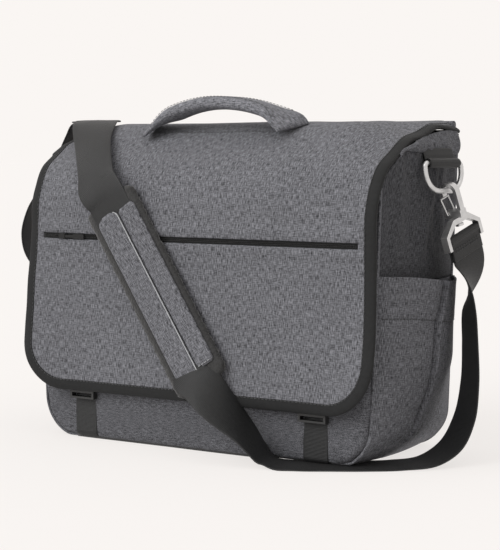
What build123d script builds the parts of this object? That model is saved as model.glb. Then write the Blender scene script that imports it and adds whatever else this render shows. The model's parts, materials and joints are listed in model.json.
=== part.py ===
"""Messenger bag: padded body, fold-over flap, carry handle, clip-on shoulder strap.

Millimetres. +Z is up, -Y is the front, +X is to the right of someone facing the front. The origin
is the centre of the base panel's underside, which is the face that the bag stands on.
"""
from build123d import *
import os

# ---------------------------------------------------------------- driving dimensions
TOP_HALF = 210.0        # half width of the body where its outline is widest
TOP_Z = 330.0           # height at which TOP_HALF is reached
FOOT_HALF = 198.0       # half width of the body at the base
CORNER_R = 42.0         # lower corners of the body, seen from the front
BODY_FRONT = -85.0      # outer face of the front panel
BODY_BACK = 84.0        # outer face of the back panel
FRONT_T = 5.0           # padded front panel
BACK_T = 9.0            # padded back panel
SIDE_T = 4.0            # gussets
BASE_T = 7.0            # stiffened base
FRONT_TOP = 268.0       # rim of the front panel, hidden by the flap
BACK_TOP = 324.0        # rim of the back panel
GUSSET_FRONT_TOP = 280.0
GUSSET_BACK_TOP = 320.0
GUSSET_BULGE = 8.0      # a full bag's sides stand out this much at mid depth
POCKET_BULGE = 24.0     # side pockets stand out this much at mid depth
POCKET_FOOT = 46.0
POCKET_RIM = 184.0
POCKET_T = 3.0
LAPTOP_GAP = 25.0       # room between the divider and the back panel
DIVIDER_T = 6.0

FLAP_HALF = 212.0
FLAP_FRONT = -100.0     # outer face of the hanging part of the flap
FLAP_FOOT = 52.0
FLAP_CORNER_R = 52.0
FLAP_SHELL_T = 4.0
FLAP_LINING_T = 1.0
FLAP_BEND_R = 75.0      # soft shoulder between the flap's top and its hanging part
HINGE_Y = 79.0
HINGE_Z = 328.8
HINGE_R = 4.4           # fabric fold along the back edge
BINDING_W = 12.0
BINDING_PROUD = 0.6

ZIP_Z = 214.0
ZIP_HALF = 196.0        # the zip crosses nearly the whole flap
ZIP_GAP = 6.0
ZIP_REST_X = -160.0

WEB = 50.0              # shoulder strap webbing
WEB_T = 2.0
NARROW_WEB = 25.0       # compression strap webbing
NARROW_T = 1.8
NARROW_X = 141.0
STRAP_FLOOR_Z = 1.3     # middle of the webbing where the strap lies on the ground
STRAP_CHANNEL = 2.6     # hollow under the front corner that the shoulder strap passes through

PAD_LENGTH = 226.0
PAD_WIDTH = 74.0
PAD_BASE_T = 5.0
PAD_STAND_OFF = 3.3     # the zip's slider and pull pass behind the pad
COVER_LENGTH = 190.0
COVER_WIDTH = 56.0
COVER_T = 2.0

HANDLE_HALF = 88.0
HANDLE_Y = -41.0
HANDLE_WIDTH = 34.0
HANDLE_T = 14.0
HANDLE_TOP = 359.0
HANDLE_FOOT = 327.0
HANDLE_PIVOT_Z = 335.4
HANDLE_PIVOT_R = 7.0

RING_X = 227.0          # centre of the ring's straight bar
RING_Y = 8.0
RING_Z = 291.0
RING_HALF = 29.0
RING_DROP = 27.0
RING_WIRE = 2.6
RING_YAW = -10.0        # the rings face a little to the front
RING_SWING = -6.0       # and hang clear of the pockets
HOOK_X = 3.0            # the hook's swivel hangs a little outside the ring's wire
HOOK_ROLL = {"right": 18.0, "left": 0.0}    # the strap pulls the right hook askew

CLEAR = 0.3             # gap between soft pieces on different bodies

os.makedirs("parts", exist_ok=True)


def save(shape, node):
    """Write one sub-part."""
    export_step(shape, f"parts/{node}.step")


# ---------------------------------------------------------------- helpers
def slab(face, y0, y1):
    """A face drawn in XZ, extruded from y0 to y1."""
    return extrude(Pos(0, y0, 0) * (Plane.XZ * face), amount=y1 - y0, dir=(0, 1, 0))


def block(x0, x1, y0, y1, z0, z1):
    """A box between two corners."""
    centre = ((x0 + x1) / 2, (y0 + y1) / 2, (z0 + z1) / 2)
    return Pos(*centre) * Box(abs(x1 - x0), abs(y1 - y0), abs(z1 - z0))


def half_width(z):
    """Half the body's width at height z, apart from its rounded corners."""
    return FOOT_HALF + (TOP_HALF - FOOT_HALF) * z / TOP_Z


def body_outline(inset, top, foot=0.0):
    """The bag's outline seen from the front: it widens upwards and its lower corners are round."""
    z0 = foot + inset
    corners = [
        (-half_width(z0) + inset, z0),
        (half_width(z0) - inset, z0),
        (half_width(top) - inset, top),
        (-half_width(top) + inset, top),
    ]
    face = make_face(Polyline(*corners, close=True))
    return fillet(face.vertices().sort_by(Axis.Y)[:2], CORNER_R - inset)


def crown(y):
    """1 at mid depth and 0 at the front and back seams."""
    mid = (BODY_FRONT + BODY_BACK) / 2
    half = (BODY_BACK - BODY_FRONT) / 2
    return max(0.0, 1 - ((y - mid) / half) ** 2)


def ribbon(route, width, thickness, start=None, end=None):
    """Flat webbing through stations of (centre, direction across the webbing).

    start and end are the directions of travel at the ends, where a cut faces its neighbour.
    """
    centres = [Vector(*c) for c, _ in route]
    travels = [centres[min(i + 1, len(route) - 1)] - centres[max(i - 1, 0)] for i in range(len(route))]
    travels[0] = Vector(*start) if start else travels[0]
    travels[-1] = Vector(*end) if end else travels[-1]
    sections = []
    for i, (_, across) in enumerate(route):
        travel = travels[i].normalized()
        across = Vector(*across)
        across = (across - travel * across.dot(travel)).normalized()
        plane = Plane(origin=centres[i], x_dir=across, z_dir=travel)
        sections.append(plane * Rectangle(width, thickness))
    return loft(sections, ruled=True)


def mirrored(shape):
    """The same piece on the bag's other side."""
    return mirror(shape, about=Plane.YZ)


# ---------------------------------------------------------------- body panels
def front_panel():
    return slab(body_outline(0, FRONT_TOP), BODY_FRONT, BODY_FRONT + FRONT_T)


def back_panel():
    return slab(body_outline(0, BACK_TOP), BODY_BACK - BACK_T, BODY_BACK)


def base_panel():
    edge = FOOT_HALF - CORNER_R
    return block(-edge, edge, BODY_FRONT + FRONT_T, BODY_BACK - BACK_T, 0, BASE_T)


def gusset_form(inset):
    """The right side of the body as a solid, crowned outwards at mid depth."""
    y0 = BODY_FRONT + FRONT_T
    y1 = BODY_BACK - BACK_T
    edge = FOOT_HALF - CORNER_R
    sections = []
    steps = 6
    for i in range(steps + 1):
        y = y0 + (y1 - y0) * i / steps
        top = GUSSET_FRONT_TOP + (GUSSET_BACK_TOP - GUSSET_FRONT_TOP) * i / steps + inset
        out = GUSSET_BULGE * crown(y) - inset
        face = make_face(Polyline(
            (edge - inset, inset), (half_width(0) + out, inset), (half_width(top) + out, top),
            (edge - inset, top), close=True))
        corner = face.vertices().sort_by(Axis.Y)[:2].sort_by(Axis.X)[-1]
        sections.append(Pos(0, y, 0) * (Plane.XZ * fillet(corner, CORNER_R - inset)))
    return loft(sections)


def gusset():
    """Right side wall with its rounded lower corner."""
    return gusset_form(0) - gusset_form(SIDE_T)


def lining():
    """Thin liner that hangs inside the walls and is open at the top."""
    y0 = BODY_FRONT + FRONT_T + 0.5
    y1 = BODY_BACK - BACK_T - 0.5
    foot = BASE_T + 0.5 - SIDE_T
    outer = slab(body_outline(SIDE_T + 0.5, FRONT_TOP - 4, foot), y0, y1)
    cavity = slab(body_outline(SIDE_T + 1.5, FRONT_TOP + 20, foot), y0 + 1, y1 - 1)
    return outer - cavity


def laptop_divider():
    """Padded board that makes a sleeve along the back panel."""
    y1 = BODY_BACK - BACK_T - LAPTOP_GAP
    return slab(body_outline(SIDE_T + 8, FRONT_TOP - 12, BASE_T + 2), y1 - DIVIDER_T, y1)


def bottle_pocket():
    """Open-topped pocket on the right gusset."""
    y0 = BODY_FRONT + 3
    y1 = BODY_BACK - 3
    steps = 6
    sections = []
    for i in range(steps + 1):
        y = y0 + (y1 - y0) * i / steps
        wall = GUSSET_BULGE * crown(y) + 0.3
        out = POCKET_BULGE * crown(y) + POCKET_T + 0.8
        z0, z1 = POCKET_FOOT, POCKET_RIM
        floor = z0 + POCKET_T
        section = make_face(Polyline(
            (half_width(z0) + wall, z0),
            (half_width(z0) + out, z0),
            (half_width(z1) + out, z1),
            (half_width(z1) + out - POCKET_T, z1),
            (half_width(floor) + out - POCKET_T, floor),
            (half_width(floor) + wall, floor),
            close=True))
        sections.append(Pos(0, y, 0) * (Plane.XZ * section))
    return loft(sections)


# ---------------------------------------------------------------- compression straps
def compression_strap(x):
    """Narrow webbing down the front, under the base and up the foot of the back panel."""
    front = BODY_FRONT - 0.2 - NARROW_T
    back = BODY_BACK + 0.2 + NARROW_T
    under = STRAP_CHANNEL + 0.1
    line = FilletPolyline((front, 62), (front, under), (back, under), (back, 60), radius=NARROW_T + 0.2)
    face = make_face(offset(line, amount=NARROW_T, side=Side.LEFT))
    strap = extrude(Plane.YZ * face, amount=NARROW_WEB / 2, both=True)
    return Pos(x, 0, 0) * strap


def channels():
    """Hollows in the underside that the straps pass through."""
    y0 = BODY_FRONT - 5
    y1 = BODY_BACK + 5
    half = NARROW_WEB / 2 + CLEAR
    top = STRAP_CHANNEL + NARROW_T + CLEAR
    narrow = [block(x - half, x + half, y0, y1, -1, top) for x in (-NARROW_X, NARROW_X)]
    corner = block(86, 192, y0, -28, -1, STRAP_CHANNEL)
    return narrow + [corner]


# ---------------------------------------------------------------- side-release buckles
BUCKLE_HALF = 15.5
FLAP_INSIDE = FLAP_FRONT + FLAP_SHELL_T + FLAP_LINING_T
SOCKET_OUT = FLAP_INSIDE
SOCKET_IN = FLAP_INSIDE + 6.8
PRONG_OUT = SOCKET_OUT + 1.4
PRONG_IN = SOCKET_IN - 1.4
SOCKET_FOOT = 80.0
SOCKET_TOP = 112.0
PRONG_TIP = 79.0
GUIDE_FOOT = 43.0
GUIDE_TOP = 59.0


def buckle_prong(x):
    """Prongs, guide and ladder bar: the webbing threads through the slots."""
    y0 = SOCKET_OUT + 0.5
    y1 = SOCKET_IN
    body = block(x - BUCKLE_HALF, x + BUCKLE_HALF, y0, y1, GUIDE_FOOT, GUIDE_TOP)
    for z in (GUIDE_FOOT + 2, GUIDE_FOOT + 8.5):
        body -= block(x - 13, x + 13, y0 - 1, y1 + 1, z, z + 4)
    for side in (-1, 1):
        arm = x + side * 10
        barb = x + side * 10.4
        body += block(arm - 2, arm + 2, PRONG_OUT, PRONG_IN, GUIDE_TOP, PRONG_TIP)
        body += block(barb - 2, barb + 2, PRONG_OUT, PRONG_IN, PRONG_TIP - 9, PRONG_TIP - 3)
    return body + block(x - 3, x + 3, PRONG_OUT, PRONG_IN, GUIDE_TOP, PRONG_TIP - 4)


def buckle_socket(x):
    """Socket sewn inside the flap, open downwards."""
    body = block(x - BUCKLE_HALF, x + BUCKLE_HALF, SOCKET_OUT, SOCKET_IN, SOCKET_FOOT, SOCKET_TOP)
    mouth = block(x - 14, x + 14, PRONG_OUT - 0.4, PRONG_IN + 0.4, SOCKET_FOOT - 1, SOCKET_TOP - 9)
    slot = block(x - 13, x + 13, SOCKET_OUT - 1, SOCKET_IN + 1, SOCKET_TOP - 6, SOCKET_TOP - 3)
    return body - mouth - slot


# ---------------------------------------------------------------- flap
def flap_section(depth):
    """Side view of the flap, in YZ, from its outer face inwards. A negative depth is outside it."""
    line = FilletPolyline(
        (HINGE_Y, 333.5), (-34, 331), (FLAP_FRONT, 276), (FLAP_FRONT, FLAP_FOOT - 20),
        radius=FLAP_BEND_R)
    side = Side.LEFT if depth > 0 else Side.RIGHT
    return make_face(offset(line, amount=abs(depth), side=side))


def flap_cut(inset):
    """Prism that trims the hanging part of the flap to its outline."""
    half = FLAP_HALF - inset
    foot = FLAP_FOOT + inset
    face = make_face(Polyline((-half, foot), (half, foot), (half, 400), (-half, 400), close=True))
    face = fillet(face.vertices().sort_by(Axis.Y)[:2], FLAP_CORNER_R - inset)
    return slab(face, FLAP_FRONT - 40, HINGE_Y)


def fold(radius):
    """Round bar along the flap's hinge line."""
    return Pos(0, HINGE_Y, HINGE_Z) * Rot(0, 90, 0) * Cylinder(radius, 2 * FLAP_HALF + 20)


def flap_layer(section, inset):
    layer = extrude(Plane.YZ * section, amount=FLAP_HALF + 5, both=True)
    return (layer & flap_cut(inset)) - fold(HINGE_R)


def flap_shell():
    shell = flap_layer(flap_section(FLAP_SHELL_T), BINDING_W / 2)
    slit = block(-ZIP_HALF, ZIP_HALF, FLAP_FRONT - 2, FLAP_FRONT + 2.6,
                 ZIP_Z - ZIP_GAP / 2, ZIP_Z + ZIP_GAP / 2)
    return shell - slit


def flap_lining():
    section = flap_section(FLAP_SHELL_T + FLAP_LINING_T) - flap_section(FLAP_SHELL_T)
    return flap_layer(section, BINDING_W / 2)


def flap_binding():
    """Tape folded over the flap's side and bottom edges."""
    section = flap_section(FLAP_SHELL_T + FLAP_LINING_T) + flap_section(-BINDING_PROUD)
    return flap_layer(section, 0) - flap_cut(BINDING_W / 2)


def flap_hinge():
    """Fabric fold that joins the flap to the back panel's rim."""
    return Pos(0, HINGE_Y, HINGE_Z) * Rot(0, 90, 0) * Cylinder(HINGE_R, 2 * FLAP_HALF - 16)


# ---------------------------------------------------------------- flap zip
def zip_track():
    """Coil and tape at the bottom of the slit."""
    tape = block(-ZIP_HALF + 1, ZIP_HALF - 1, FLAP_FRONT + 1.6, FLAP_FRONT + 2.5,
                 ZIP_Z - ZIP_GAP / 2, ZIP_Z + ZIP_GAP / 2)
    coil = block(-ZIP_HALF + 4, ZIP_HALF - 4, FLAP_FRONT + 1.0, FLAP_FRONT + 1.6,
                 ZIP_Z - 1.5, ZIP_Z + 1.5)
    return tape + coil


ZIP_POST_X = ZIP_REST_X + 3.4
ZIP_POST_Y = FLAP_FRONT - 1.7


def zip_slider():
    """Slider body that rides over the coil, with a post for the pull."""
    x = ZIP_REST_X
    body = block(x - 5, x + 5, FLAP_FRONT - 0.3, FLAP_FRONT + 0.8, ZIP_Z - 2.8, ZIP_Z + 2.8)
    body += Pos(ZIP_POST_X, ZIP_POST_Y, ZIP_Z) * Cylinder(0.5, 5.0)
    for z in (ZIP_Z - 2.7, ZIP_Z + 1.8):
        body += block(ZIP_POST_X - 1.1, ZIP_POST_X + 1.1, ZIP_POST_Y - 0.9, FLAP_FRONT - 0.2, z, z + 0.9)
    return body


def zip_pull():
    """Flat pull tab that turns about the slider's post."""
    x = ZIP_POST_X
    y = ZIP_POST_Y
    eye = Pos(x, y, ZIP_Z) * (Cylinder(1.1, 3.0) - Cylinder(0.6, 4.0))
    tab = block(x + 0.9, x + 26, y - 0.5, y + 0.5, ZIP_Z - 1.5, ZIP_Z + 1.5)
    tab += block(x + 12, x + 26, y - 0.5, y + 0.5, ZIP_Z - 2.6, ZIP_Z + 2.6)
    return eye + tab


# ---------------------------------------------------------------- carry handle
def handle():
    """Padded arch whose ends narrow to a rounded foot, so that it can tip both ways."""
    inner_half = HANDLE_HALF - 26
    outer = ThreePointArc((-HANDLE_HALF, HANDLE_FOOT), (0, HANDLE_TOP), (HANDLE_HALF, HANDLE_FOOT))
    inner = ThreePointArc((inner_half, HANDLE_FOOT), (0, HANDLE_TOP - HANDLE_T), (-inner_half, HANDLE_FOOT))
    left = Line((-inner_half, HANDLE_FOOT), (-HANDLE_HALF, HANDLE_FOOT))
    right = Line((HANDLE_HALF, HANDLE_FOOT), (inner_half, HANDLE_FOOT))
    half = HANDLE_WIDTH / 2
    arch = slab(make_face([outer, right, inner, left]), HANDLE_Y - half, HANDLE_Y + half)
    keystone = Pos(HANDLE_Y, HANDLE_PIVOT_Z) * (Circle(HANDLE_PIVOT_R) + make_face(Polyline(
        (-HANDLE_PIVOT_R, 0), (HANDLE_PIVOT_R, 0), (half, 10), (half, 40), (-half, 40), (-half, 10),
        close=True)))
    return arch & extrude(Plane.YZ * keystone, amount=HANDLE_HALF, both=True)


def handle_anchor(side):
    """Stitched end of the handle, lying on the flap's shoulder."""
    pad = flap_section(-3.0)
    strip = Pos(HANDLE_Y - 4, 320) * Rectangle(28, 60)
    x0, x1 = sorted((side * (HANDLE_HALF - 26), side * HANDLE_HALF))
    return Pos(x0, 0, 0) * extrude(Plane.YZ * (pad & strip), amount=x1 - x0)


# ---------------------------------------------------------------- rings and hooks
# Each piece is drawn for the right side, in a frame with X outwards, and mirrored for the left.
TAB_FRAME = Location((RING_X, RING_Y, RING_Z), (0, 0, RING_YAW))
RING_FRAME = TAB_FRAME * Location((0, 0, 0), (0, RING_SWING, 0))


def hook_frame(side):
    """Origin on the ring's lower wire, rolled about the outward direction."""
    return RING_FRAME * Location((0, 5, -RING_DROP), (HOOK_ROLL[side], 0, 0))


def place(shape, frame, side):
    placed = frame * shape
    return placed if side == "right" else mirrored(placed)


def ring_tab():
    """Webbing folded over the ring's bar and sewn on the gusset."""
    wrap = Circle(4.9) + Pos(-4.5, 7) * Rectangle(8, 14) - Circle(RING_WIRE + 0.3)
    tab = TAB_FRAME * extrude(Plane.XZ * wrap, amount=24, both=True)
    return tab - gusset_form(0)


def d_ring():
    outline = Rectangle(2 * RING_HALF, RING_DROP)
    outline = fillet(outline.vertices().sort_by(Axis.Y)[:2], 20)
    outline = fillet(outline.vertices().sort_by(Axis.Y)[-2:], 4)
    wire = (Plane.YZ * (Pos(0, -RING_DROP / 2) * outline)).faces()[0].outer_wire()
    start = Plane(origin=wire @ 0, z_dir=wire % 0)
    return sweep(start * Circle(RING_WIRE), path=wire)


HOOK_BLOCK_FOOT = -26.8
GATE_PIVOT = (-3.0, -23.5)


def hook_body():
    """Cast shank with a curled nose over the ring, a hinge block and the swivel post."""
    curl = CenterArc((1.5, -1.5), 8, 0, 180)
    shank = Line((9.5, -1.5), (9.5, -22))
    nose = Line((-6.5, -1.5), (-6.5, -5))
    body = block(-8.3, 11.3, -5.2, 5.2, HOOK_BLOCK_FOOT, -20)
    for edge in (shank, curl, nose):
        body += extrude(Plane.XZ * trace(edge, 3.6), amount=3.5, both=True)
    for side in (-1, 1):
        body -= Pos(GATE_PIVOT[0], side * 5.2, GATE_PIVOT[1]) * Rot(90, 0, 0) * Cylinder(1.2, 4)
    body += Pos(HOOK_X, 0, -30.5) * Cylinder(2.5, 9)
    return body + Pos(HOOK_X, 0, -35) * Cylinder(4.0, 2.2)


def hook_gate():
    """Bent wire gate: two pins in the hinge block, two legs and a cross bar under the nose."""
    x, z = GATE_PIVOT
    leg_y = 6.4
    gate = Pos(-6.5, 0, -6.6) * Rot(90, 0, 0) * Cylinder(0.9, 2 * leg_y + 1.8)
    for side in (-1, 1):
        gate += Pos(x, side * 5.6, z) * Rot(90, 0, 0) * Cylinder(0.9, 3.2)
        gate += Pos(x - 1.75, side * leg_y, z + 8.45) * Rot(0, -11.7, 0) * Cylinder(0.9, 17.6)
    return gate


YOKE_BAR_Z = -46.0
YOKE_BAR_R = 2.0


def hook_yoke():
    """Flared bow that turns on the swivel post, with a round bar between its ends for the strap."""
    outer = make_face(Polyline(
        (-13, -27), (13, -27), (30, -39), (30, -54), (-30, -54), (-30, -39), close=True))
    inner = make_face(Polyline(
        (-11, -32.5), (11, -32.5), (25.4, -41), (25.4, -55), (-25.4, -55), (-25.4, -41), close=True))
    bow = Pos(HOOK_X, 0, 0) * extrude(Plane.YZ * (outer - inner), amount=3.6, both=True)
    bar = Pos(HOOK_X, 0, YOKE_BAR_Z) * Rot(90, 0, 0) * Cylinder(YOKE_BAR_R, 54)
    return bow + bar - Pos(HOOK_X, 0, -30.5) * Cylinder(2.6, 12)


TAIL_END_Z = -66.0
TAIL_GAP = 2.5          # the strap carries on this far below the tail, so that the hook can swing


def strap_end():
    """Webbing sewn round the yoke's lower bar, with a short doubled tail."""
    inside = YOKE_BAR_R + 0.3
    wrap = Pos(HOOK_X, YOKE_BAR_Z) * (Circle(inside + WEB_T) - Circle(inside))
    tail_top = YOKE_BAR_Z - inside - WEB_T / 2
    tail = Pos(HOOK_X, (tail_top + TAIL_END_Z) / 2) * Rectangle(2 * WEB_T, tail_top - TAIL_END_Z)
    return extrude(Plane.XZ * (wrap + tail), amount=WEB / 2, both=True)


def tail_station(side):
    """Below the doubled tail: centre, direction across the webbing, and direction upwards."""
    frame = hook_frame(side)
    flip = 1 if side == "right" else -1

    def flipped(v):
        return (v.X * flip, v.Y, v.Z)

    tip = (frame * Location((HOOK_X, 0, TAIL_END_Z - TAIL_GAP))).position
    beside = (frame * Location((HOOK_X, 10, TAIL_END_Z - TAIL_GAP))).position
    above = (frame * Location((HOOK_X, 0, TAIL_END_Z + 9.5))).position
    return flipped(tip), flipped(beside - tip), flipped(above - tip)


# ---------------------------------------------------------------- shoulder strap
STRAP_Y = FLAP_FRONT - PAD_STAND_OFF - PAD_BASE_T - 0.2 - WEB_T / 2
PAD_TOP = Vector(-97, STRAP_Y, 257)
PAD_FOOT = Vector(26, STRAP_Y, 67)
DOWN = (PAD_FOOT - PAD_TOP).normalized()
SIDEWAYS = Vector(-DOWN.Z, 0, DOWN.X)
STRAIGHT_END = 12.0     # the strap stays straight this far past each end of the pad
ALONG_Y = (0, 1, 0)


def point(v):
    return (v.X, v.Y, v.Z)


def shoulder_strap_upper():
    """From the flap's left edge over its shoulder and down the front, through the pad."""
    across = point(SIDEWAYS)
    route = [
        ((-215, 17, 335.2), ALONG_Y),
        ((-203, 12, 335.2), (0.35, 0.94, 0.02)),
        ((-189, -3, 335.0), (0.70, 0.70, 0.01)),
        ((-176, -24, 333.0), (0.87, 0.48, 0.08)),
        ((-160, -47, 323.5), (0.87, 0.40, 0.22)),
        ((-144, -70, 307.5), (0.87, 0.31, 0.38)),
        ((-129, -90, 291), (0.87, 0.22, 0.43)),
        (point(PAD_TOP - DOWN * 2 * STRAIGHT_END), across),
        (point(PAD_TOP - DOWN * STRAIGHT_END), across),
        (point(PAD_TOP), across),
        (point(PAD_FOOT + DOWN * STRAIGHT_END), across),
    ]
    return ribbon(route, WEB, WEB_T, start=(1, 0, 0))


def shoulder_strap_lower():
    """From the flap's foot under the front corner, along the ground and up to the right hook."""
    tip, tip_across, up = tail_station("right")
    floor = STRAP_FLOOR_Z
    route = [
        (point(PAD_FOOT + DOWN * (STRAIGHT_END + 0.5)), point(SIDEWAYS)),
        ((45, -116, 45), (0.62, 0.42, 0.62)),
        ((59, -120, 35), (0.38, 0.80, 0.30)),
        ((75, -118, 23), (0.10, 0.97, 0.10)),
        ((90, -115, 11), (-0.08, 0.98, 0)),
        ((103, -112, 3), (-0.16, 0.98, 0)),
        ((124, -108, floor), (-0.30, 0.95, 0)),
        ((152, -95, floor), (-0.43, 0.90, 0)),
        ((180, -78, floor), (-0.56, 0.83, 0)),
        ((206, -54, floor), (-0.70, 0.71, 0)),
        ((229, -24, 4.5), (-0.76, 0.65, 0)),
        ((244, -2, 18), (-0.72, 0.69, 0)),
        ((253, 13, 42), (-0.64, 0.77, 0)),
        ((256, 21, 76), (-0.52, 0.85, 0)),
        ((253, 25, 116), (-0.446, 0.895, 0)),
        ((246, 28, 156), (-0.36, 0.93, 0.05)),
        (tip, tip_across),
    ]
    return ribbon(route, WEB, WEB_T, start=point(DOWN), end=up)


def shoulder_strap_side():
    """From the left hook in a slack loop up to the flap's left edge."""
    tip, tip_across, up = tail_station("left")
    route = [
        (tip, tip_across),
        ((-246, 15, 184), ALONG_Y),
        ((-258, 16, 174), ALONG_Y),
        ((-275, 17, 174), ALONG_Y),
        ((-289, 18, 187), ALONG_Y),
        ((-294, 19, 208), ALONG_Y),
        ((-288, 20, 234), ALONG_Y),
        ((-271, 21, 262), ALONG_Y),
        ((-250, 20, 292), ALONG_Y),
        ((-232, 18, 320), ALONG_Y),
        ((-223, 17, 332), ALONG_Y),
        ((-215.5, 17, 335.2), ALONG_Y),
    ]
    return ribbon(route, WEB, WEB_T, start=tuple(-u for u in up), end=(1, 0, 0))


def strap_adjuster():
    """Three-bar slide on the slack loop at the bag's left side."""
    frame = Box(62, 24, 3.4)
    for y in (-6, 6):
        frame -= Pos(0, y, 0) * Box(52, 5.4, 6)
    outward = Vector(-0.82, 0, 0.573)
    centre = Vector(-260.5, 20.5, 277) + outward * (WEB_T / 2 + 2.0)
    return Plane(origin=centre, x_dir=ALONG_Y, z_dir=outward).location * frame


# ---------------------------------------------------------------- shoulder pad
def pad_location():
    """Frame of the pad: X along the strap, Y across it, Z outwards from the flap."""
    centre = (PAD_TOP + PAD_FOOT) * 0.5
    return Plane(origin=centre, x_dir=DOWN, z_dir=(0, -1, 0)).location


def pad_base():
    z = -WEB_T / 2 - 0.2 - PAD_BASE_T / 2
    plate = extrude(RectangleRounded(PAD_LENGTH, PAD_WIDTH, 12), amount=PAD_BASE_T / 2, both=True)
    return pad_location() * Pos(0, 0, z) * plate


def pad_cover():
    """Cover wrapped round the strap and fastened to itself."""
    low = -WEB_T / 2 - 0.2
    high = WEB_T / 2 + 0.4
    top = high + COVER_T
    cover = Pos(0, 0, (low + top) / 2) * Box(COVER_LENGTH, COVER_WIDTH, top - low)
    tunnel = Pos(0, 0, (low - 1 + high) / 2) * Box(COVER_LENGTH + 2, WEB + 0.8, high - low + 1)
    return pad_location() * (cover - tunnel)


# ---------------------------------------------------------------- write every sub-part
def side_pieces(side, flip):
    """The pieces that come in a left and a right version away from the gussets."""
    x = flip * NARROW_X
    hook = hook_frame(side)
    save(compression_strap(x), f"compression_strap_{side}")
    save(buckle_prong(x), f"buckle_prong_{side}")
    save(buckle_socket(x), f"buckle_socket_{side}")
    save(handle_anchor(flip), f"handle_anchor_{side}")
    save(place(d_ring(), RING_FRAME, side), f"d_ring_{side}")
    save(place(hook_body(), hook, side), f"hook_body_{side}")
    save(place(hook_gate(), hook, side), f"hook_gate_{side}")
    save(place(hook_yoke(), hook, side), f"hook_yoke_{side}")
    save(place(strap_end(), hook, side), f"strap_end_{side}")


def main():
    hollows = channels()
    save(front_panel() - hollows, "front_panel")
    save(back_panel() - hollows, "back_panel")
    save(base_panel() - hollows, "base_panel")
    save(gusset() - hollows, "gusset_right")
    save(mirrored(gusset()), "gusset_left")
    save(lining(), "lining")
    save(laptop_divider(), "laptop_divider")
    save(bottle_pocket(), "bottle_pocket_right")
    save(mirrored(bottle_pocket()), "bottle_pocket_left")
    save(ring_tab(), "ring_tab_right")
    save(mirrored(ring_tab()), "ring_tab_left")
    side_pieces("right", 1)
    side_pieces("left", -1)
    save(flap_shell(), "flap_shell")
    save(flap_lining(), "flap_lining")
    save(flap_binding(), "flap_binding")
    save(flap_hinge(), "flap_hinge")
    save(zip_track(), "zip_track")
    save(zip_slider(), "zip_slider")
    save(zip_pull(), "zip_pull")
    save(handle(), "handle")
    save(shoulder_strap_upper(), "shoulder_strap_upper")
    save(shoulder_strap_lower(), "shoulder_strap_lower")
    save(shoulder_strap_side(), "shoulder_strap_side")
    save(strap_adjuster(), "strap_adjuster")
    save(pad_base(), "pad_base")
    save(pad_cover(), "pad_cover")


main()
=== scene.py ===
"""Looks for a padded messenger bag. Lengths here are in millimetres, and new_piece() writes metres."""
import json
from math import atan2, cos, hypot, pi, radians, sin, sqrt, tan

import bmesh
import bpy
from mathutils import Matrix, Vector, noise


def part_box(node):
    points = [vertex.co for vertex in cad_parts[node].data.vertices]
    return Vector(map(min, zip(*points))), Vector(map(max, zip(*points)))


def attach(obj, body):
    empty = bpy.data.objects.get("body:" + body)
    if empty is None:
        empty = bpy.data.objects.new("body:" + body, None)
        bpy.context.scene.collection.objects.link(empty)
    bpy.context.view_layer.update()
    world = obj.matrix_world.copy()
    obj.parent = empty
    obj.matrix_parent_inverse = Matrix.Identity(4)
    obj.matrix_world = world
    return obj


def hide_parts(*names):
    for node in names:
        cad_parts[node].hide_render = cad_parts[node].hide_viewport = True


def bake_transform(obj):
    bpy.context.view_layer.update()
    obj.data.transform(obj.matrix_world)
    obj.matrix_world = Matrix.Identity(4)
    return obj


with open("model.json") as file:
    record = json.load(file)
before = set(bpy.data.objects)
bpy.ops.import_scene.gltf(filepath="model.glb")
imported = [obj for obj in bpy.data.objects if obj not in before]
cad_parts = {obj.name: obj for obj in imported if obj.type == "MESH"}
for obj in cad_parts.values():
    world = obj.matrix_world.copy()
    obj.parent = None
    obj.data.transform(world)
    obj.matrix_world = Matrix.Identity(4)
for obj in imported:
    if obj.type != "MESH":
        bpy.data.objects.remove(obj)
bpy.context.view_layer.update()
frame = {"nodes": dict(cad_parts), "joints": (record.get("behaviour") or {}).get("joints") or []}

MM = 0.001


# ---------------------------------------------------------------- measures taken from the frame
def box(node):
    lo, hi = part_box(node)
    return lo / MM, hi / MM


def joint(name):
    return next(j for j in frame["joints"] if j["name"] == name)


_, front_hi = box("front_panel")
back_lo, back_hi = box("back_panel")
_, base_hi = box("base_panel")
flap_lo, flap_hi = box("flap_binding")
pocket_lo, pocket_hi = box("bottle_pocket_right")
narrow_lo, narrow_hi = box("compression_strap_right")
zip_lo, zip_hi = box("zip_track")

CORNER_R = 42.0
FOOT_HALF = base_hi.x + CORNER_R
WIDENING = (front_hi.x - FOOT_HALF) / front_hi.z
SEAM_FRONT = front_hi.y
SEAM_BACK = back_lo.y
FLAP_HALF = flap_hi.x
FLAP_FOOT = flap_lo.z
FLAP_FRONT = flap_lo.y + 0.6
FLAP_CORNER_R = 52.0
FLAP_BEND_R = 75.0
BINDING_W = 12.0
HINGE = Vector(joint("flap_hinge")["pos_m"]) / MM
ZIP_Z = (zip_lo.z + zip_hi.z) / 2
ZIP_HALF = zip_hi.x
WEB_HALF = 25.0
WEB_T = 2.0
NARROW_X = (narrow_lo.x + narrow_hi.x) / 2
NARROW_HALF = (narrow_hi.x - narrow_lo.x) / 2


# ---------------------------------------------------------------- small mathematics
def smooth(low, high, value):
    """0 at low, 1 at high, and an even slope between them."""
    t = min(1.0, max(0.0, (value - low) / (high - low)))
    return t * t * (3 - 2 * t)


def bump(centre, reach, value):
    """1 at the centre and 0 beyond its reach on either side."""
    t = min(1.0, abs(value - centre) / reach)
    return (1 - t * t) ** 2


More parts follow.
